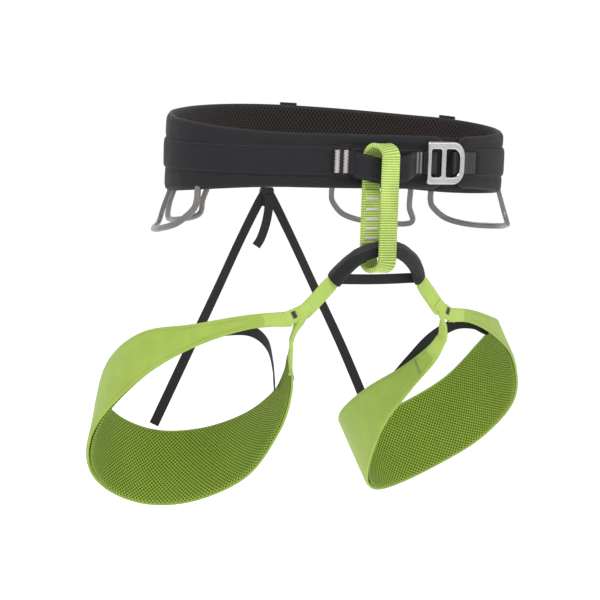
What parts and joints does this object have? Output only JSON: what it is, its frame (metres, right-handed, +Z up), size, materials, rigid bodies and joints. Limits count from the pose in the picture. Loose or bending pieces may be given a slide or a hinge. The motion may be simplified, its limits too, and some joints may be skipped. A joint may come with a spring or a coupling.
{
  "type": "climbing harness",
  "caption": "Climbing harness with a padded waist belt, padded leg loops, belay loop, covered crosspiece, gear loops, quick-adjust waist buckle and elastic rear risers.",
  "frame": {"origin": "centre of the waist opening at the mid height of the belt front", "axes": "+Z up through the waist opening, -Y to the front where the belay loop hangs, +X to the wearer's left"},
  "size_m": [0.4412, 0.266, 0.3796],
  "materials": {
    "belt_fabric": "matte woven nylon face",
    "belt_mesh": "open knit spacer mesh",
    "black_webbing": "woven nylon webbing",
    "grey_webbing": "ribbed nylon webbing",
    "lime_fabric": "smooth woven nylon face",
    "lime_mesh": "open knit spacer mesh",
    "lime_webbing": "ribbed load-bearing webbing",
    "sleeve_fabric": "coarse abrasion-resistant cloth",
    "elastic": "flat knitted elastic",
    "loop_plastic": "semi-translucent moulded plastic",
    "thread": "bar-tack thread",
    "buckle_metal": "polished"
  },
  "bodies": {
    "waist_belt": {"belt_shell": "belt_fabric", "belt_liner": "belt_mesh", "buckle_flap": "belt_mesh", "waist_webbing": "black_webbing", "haul_tab_rear": "black_webbing", "haul_tab_side": "black_webbing", "tie_in_webbing": "black_webbing", "tie_in_guard": "belt_fabric", "tie_in_base": "black_webbing", "tie_in_stitch_right": "thread", "tie_in_stitch_left": "thread", "anchor_webbing": "grey_webbing", "adjust_webbing": "grey_webbing", "riser_hanger": "black_webbing", "riser_bar": "loop_plastic", "gear_band_front_left": "black_webbing", "gear_band_front_right": "black_webbing", "gear_band_rear_left": "black_webbing", "gear_band_rear_right": "black_webbing"},
    "seat": {"belay_loop": "lime_webbing", "belay_overlap": "lime_webbing", "crosspiece_sleeve": "sleeve_fabric", "crosspiece_core": "lime_webbing", "keeper_strap": "elastic"},
    "left_leg": {"leg_shell_left": "lime_fabric", "leg_liner_left": "lime_mesh", "leg_link_front_left": "lime_webbing", "leg_link_back_left": "lime_webbing", "leg_elastic_left": "elastic", "leg_tack_left": "lime_webbing", "riser_left": "elastic"},
    "right_leg": {"leg_shell_right": "lime_fabric", "leg_liner_right": "lime_mesh", "leg_link_front_right": "lime_webbing", "leg_link_back_right": "lime_webbing", "leg_elastic_right": "elastic", "leg_tack_right": "lime_webbing", "riser_right": "elastic"},
    "buckle": {"buckle_frame": "buckle_metal"},
    "gear_loop_front_left": {"gear_loop_front_left": "loop_plastic"},
    "gear_loop_front_right": {"gear_loop_front_right": "loop_plastic"},
    "gear_loop_rear_left": {"gear_loop_rear_left": "loop_plastic"},
    "gear_loop_rear_right": {"gear_loop_rear_right": "loop_plastic"}
  },
  "joints": [
    {"name": "seat_swing", "type": "hinge", "parent": "waist_belt", "child": "seat", "pos_m": [0, -0.134, -0.006], "axis": [1, 0, 0], "range_deg": [-8, 4], "stiffness_Nm_per_rad": 16, "springref_deg": 1.72},
    {"name": "left_leg_swing", "type": "hinge", "parent": "seat", "child": "left_leg", "pos_m": [0.0452, -0.1129, -0.1052], "axis": [1, 0, 0], "range_deg": [-24, 10], "stiffness_Nm_per_rad": 5, "springref_deg": 2.29, "deforming": ["riser_left"]},
    {"name": "right_leg_swing", "type": "hinge", "parent": "seat", "child": "right_leg", "pos_m": [-0.0452, -0.1129, -0.1052], "axis": [1, 0, 0], "range_deg": [-24, 10], "stiffness_Nm_per_rad": 5, "springref_deg": 2.29, "deforming": ["riser_right"]},
    {"name": "gear_loop_front_left_tilt", "type": "hinge", "parent": "waist_belt", "child": "gear_loop_front_left", "pos_m": [0.1452, -0.0212, -0.0319], "axis": [0.1426, -0.9885, 0.0499], "range_deg": [-10, 30]},
    {"name": "gear_loop_front_right_tilt", "type": "hinge", "parent": "waist_belt", "child": "gear_loop_front_right", "pos_m": [-0.1452, -0.0184, -0.032], "axis": [0.1776, 0.983, -0.0456], "range_deg": [-10, 30]},
    {"name": "gear_loop_rear_left_tilt", "type": "hinge", "parent": "waist_belt", "child": "gear_loop_rear_left", "pos_m": [0.0967, 0.0709, -0.0325], "axis": [0.7442, -0.6674, -0.0278], "range_deg": [-10, 30]},
    {"name": "gear_loop_rear_right_tilt", "type": "hinge", "parent": "waist_belt", "child": "gear_loop_rear_right", "pos_m": [-0.0949, 0.0724, -0.0324], "axis": [0.7524, 0.6581, 0.0273], "range_deg": [-10, 30]},
    {"name": "buckle_tilt", "type": "hinge", "parent": "waist_belt", "child": "buckle", "pos_m": [0.0402, -0.1263, 0], "axis": [0, 0, -1], "range_deg": [0, 20]}
  ]
}
